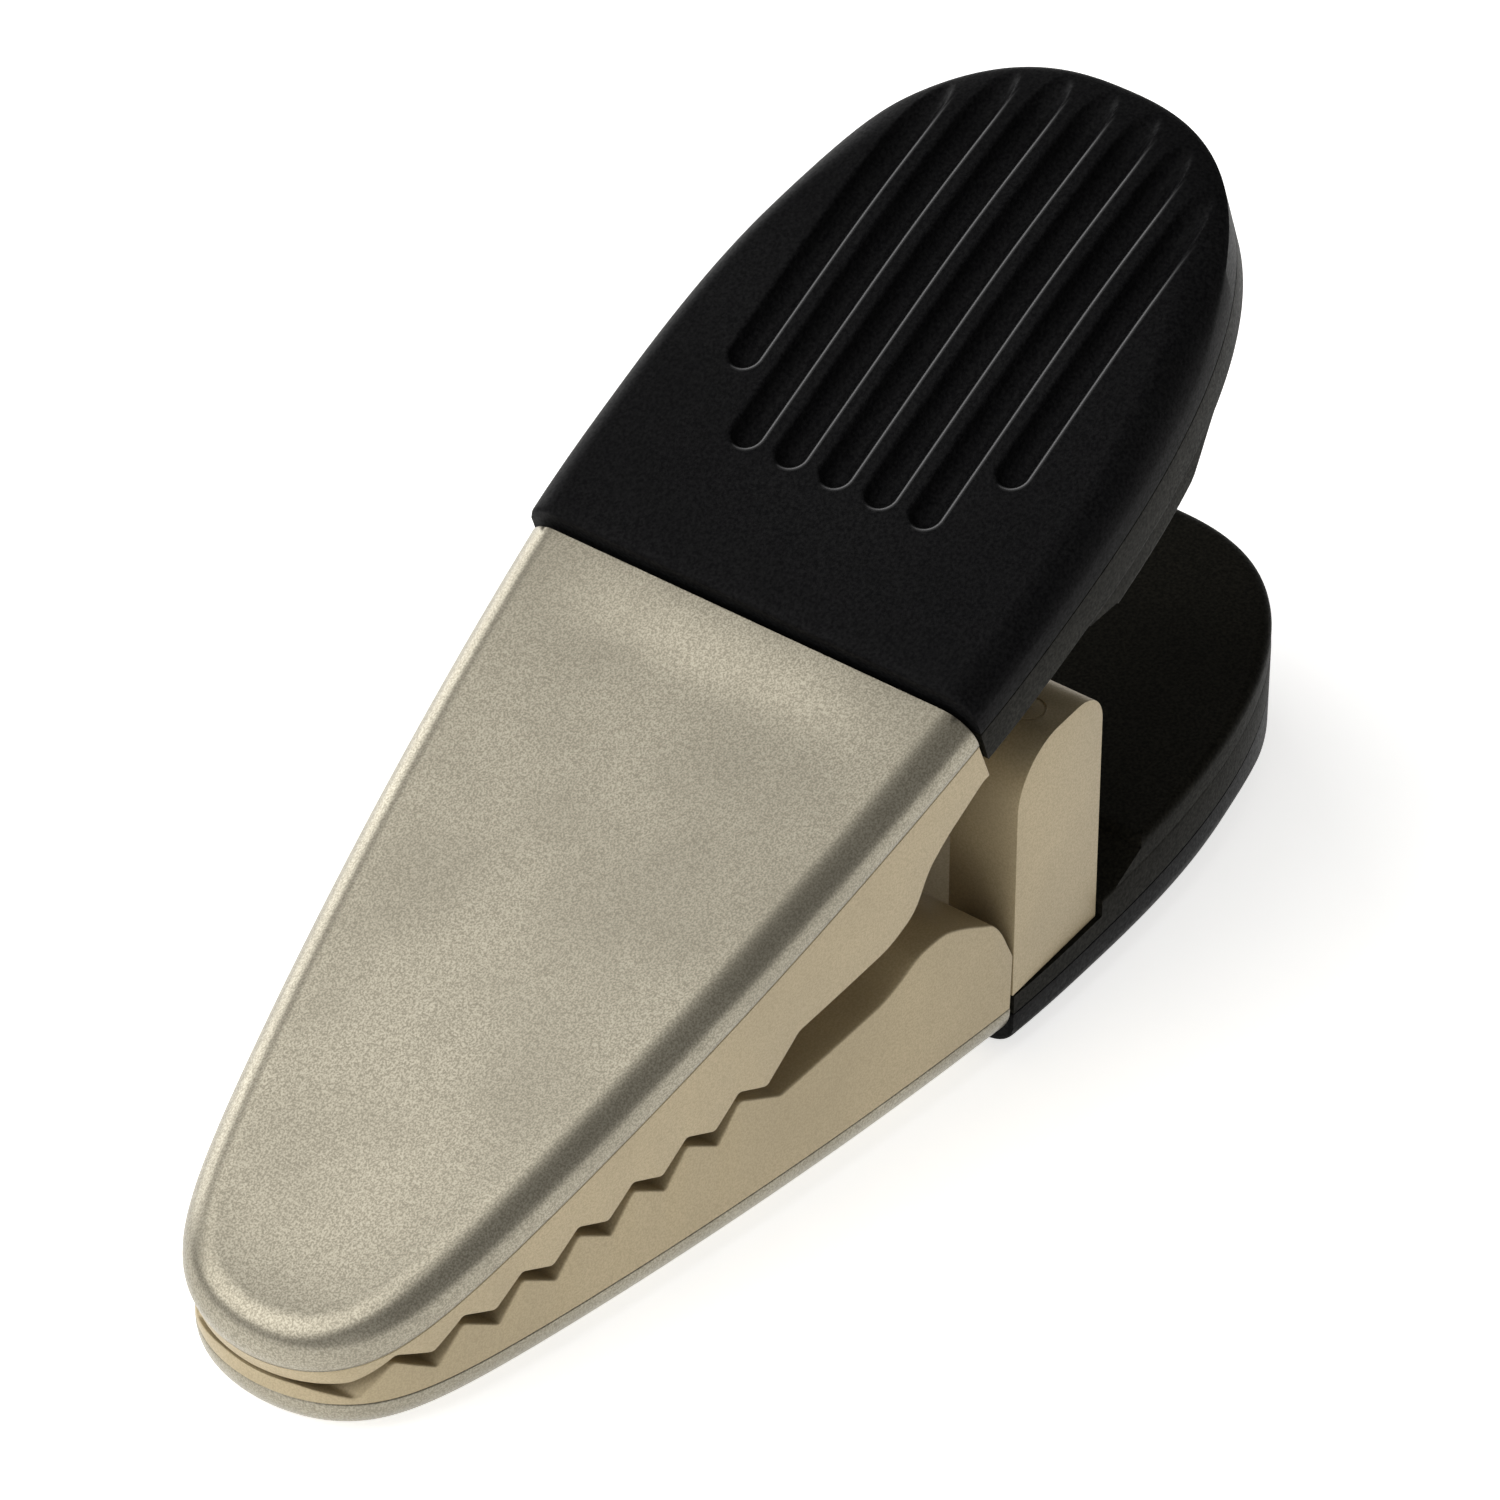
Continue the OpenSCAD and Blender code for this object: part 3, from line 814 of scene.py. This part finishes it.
def floor_paper(name):
    """Matt white paper with a faint glow of its own, so that it stays white under the soft light."""
    n = Nodes(name)
    fibres = n.noise(260, detail=4.0)
    colour = n.ramp(fibres, [(0.3, (0.93, 0.93, 0.925)), (0.7, (0.95, 0.95, 0.945))])
    n.shader.inputs["Emission Color"].default_value = (1.0, 0.995, 0.985, 1)
    n.shader.inputs["Emission Strength"].default_value = 0.7
    return n.done(colour, n.span(fibres, 0.3, 0.7, 0.75, 0.85), n.bump(fibres, 0.05, 0.1), specular=0.2)


SHELL_PAINT = metal_paint("shell_paint", (0.26, 0.237, 0.182), (0.43, 0.398, 0.316),
                          metallic=0.75, rough=0.33, grain=0.26)
BODY_PAINT = metal_paint("body_paint", (0.41, 0.335, 0.205), (0.50, 0.41, 0.255),
                         metallic=0.30, rough=0.46, grain=0.12)
CAP_BLACK = moulded_black("cap_black", (0.004, 0.004, 0.0045), (0.012, 0.012, 0.0125),
                          rough=0.42, grain=0.35, grooved=True)
BASE_BLACK = moulded_black("base_black", (0.008, 0.0078, 0.006), (0.022, 0.0205, 0.016),
                           rough=0.46, grain=0.16)
PIN_STEEL = drawn_steel("pin_steel", (0.62, 0.61, 0.59), 0.28)
SPRING_STEEL = drawn_steel("spring_steel", (0.50, 0.50, 0.50), 0.34)


# ---------------------------------------------------------------- pieces
def place(obj, node, body, slot, material):
    """One piece that stands for one CAD node."""
    obj.data.materials.clear()
    obj.data.materials.append(material)
    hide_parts(node)
    if body:
        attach(obj, body)
    return obj


def ring_cutter(u, y, v):
    """A thin ring for a moulding mark on the lower bracket, centred on a point of the lower grip's frame."""
    bm = bmesh.new()
    inner, outer = MARK_R
    angles = np.linspace(0, 2 * math.pi, 48, endpoint=False)
    rings = []
    for r, z in ((outer, -MARK_D), (outer, MARK_D), (inner, MARK_D), (inner, -MARK_D)):
        rings.append(add_ring(bm, [(u + r * math.cos(a), y + r * math.sin(a), v + z) for a in angles]))
    for a, b in zip(rings, rings[1:] + rings[:1]):
        strip(bm, a, b, closed=True)
    return object_from_bmesh("mark", bm, GRIP[-1])


for side, arm in ((1, "upper"), (-1, "lower")):
    body = arm + "_arm"
    place(shell(arm + "_shell", side), arm + "_jaw_shell", body, "shell", SHELL_PAINT)
    place(jaw_body(arm + "_toothed_body", side), arm + "_jaw_body", body, "body", BODY_PAINT)
    place(grip_cap(arm + "_ribbed_cap", side), arm + "_grip_cap", body, "grip_cap", CAP_BLACK)
    place(grip_base(arm + "_grip_plate", side), arm + "_grip_base", body, "grip_base", BASE_BLACK)
    marks = []
    if side < 0:
        ear_top = (GRIP[-1].inverted() @ HINGE).z - EAR_TOP
        ear_middle = EAR_START + EAR_LEN / 2
        marks = [ring_cutter(ear_middle, hand * (JAW_W - EAR_T) / 2, ear_top) for hand in (-1, 1)]
    bracket = cad_copy(arm + "_hinge_bracket", arm + "_bracket", edge=0.22, cutters=marks)
    place(bracket, arm + "_hinge_bracket", body, "body", BODY_PAINT)
pin = cad_copy("hinge_pin", "steel_pin", edge=0.25)
place(pin, "hinge_pin", "lower_arm", "pin_steel", PIN_STEEL)
spring = torsion_spring("coil_spring")
place(spring, "torsion_spring", None, "spring_steel", SPRING_STEEL)
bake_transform(spring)


# ---------------------------------------------------------------- floor, light and camera
FLOOR_HALF = 2.0
low, high = (Vector(p) for p in cad_box)
centre = (low + high) / 2
floor_mesh = bpy.data.meshes.new("floor")
corners = [(x * FLOOR_HALF, y * FLOOR_HALF, low.z) for x, y in ((-1, -1), (1, -1), (1, 1), (-1, 1))]
floor_mesh.from_pydata(corners, [], [(0, 1, 2, 3)])
floor_mesh.materials.append(floor_paper("floor_paper"))
new_object("floor", floor_mesh)

world = bpy.data.worlds.new("studio")
bpy.context.scene.world = world
world.use_nodes = True
sky = world.node_tree.nodes["Background"]
sky.inputs["Color"].default_value = (1.0, 0.985, 0.96, 1)
sky.inputs["Strength"].default_value = 0.2
bpy.context.scene.view_settings.view_transform = "Standard"


def towards(azimuth, elevation):
    """The unit vector from the object to an eye or a lamp. In degrees, from -Y round towards +X."""
    a, e = math.radians(azimuth), math.radians(elevation)
    return Vector((math.sin(a) * math.cos(e), -math.cos(a) * math.cos(e), math.sin(e)))


def softbox(name, azimuth, elevation, away, size, watts, colour=(1, 1, 1)):
    """A square soft light, aimed at the object's centre."""
    back = towards(azimuth, elevation)
    lamp = bpy.data.lights.new(name, "AREA")
    lamp.shape = "SQUARE"
    lamp.size = size
    lamp.energy = watts
    lamp.color = colour
    obj = new_object(name, lamp)
    obj.location = centre + back * away
    obj.rotation_euler = back.to_track_quat("Z", "Y").to_euler()
    return obj


softbox("key_light", -122, 46, 0.9, 0.9, 6.0, (1.0, 0.99, 0.97))
softbox("top_light", 178, 66, 1.0, 0.6, 0.25)
softbox("rear_light", 166, 8, 0.9, 0.8, 6.0)
softbox("front_light", -60, 15, 1.1, 0.5, 0.3)

VIEW_AZIMUTH = -56.02
VIEW_ELEVATION = 38.16
VIEW_ROLL = math.radians(2.64)
VIEW_DISTANCE = 0.5583
VIEW_LENS = 210.66
# The picture's middle, from the hinge axis
VIEW_MIDDLE = Vector((-0.01579, -0.00387, 0.00764))
back = towards(VIEW_AZIMUTH, VIEW_ELEVATION)
camera = new_object("camera", bpy.data.cameras.new("camera"))
camera.data.sensor_width = 36
camera.data.lens = VIEW_LENS
camera.data.clip_start = 0.01
camera.location = HINGE + VIEW_MIDDLE + back * VIEW_DISTANCE
level = back.to_track_quat("Z", "Y").to_matrix()
camera.rotation_euler = (level @ Matrix.Rotation(VIEW_ROLL, 3, "Z")).to_euler()
bpy.context.scene.camera = camera
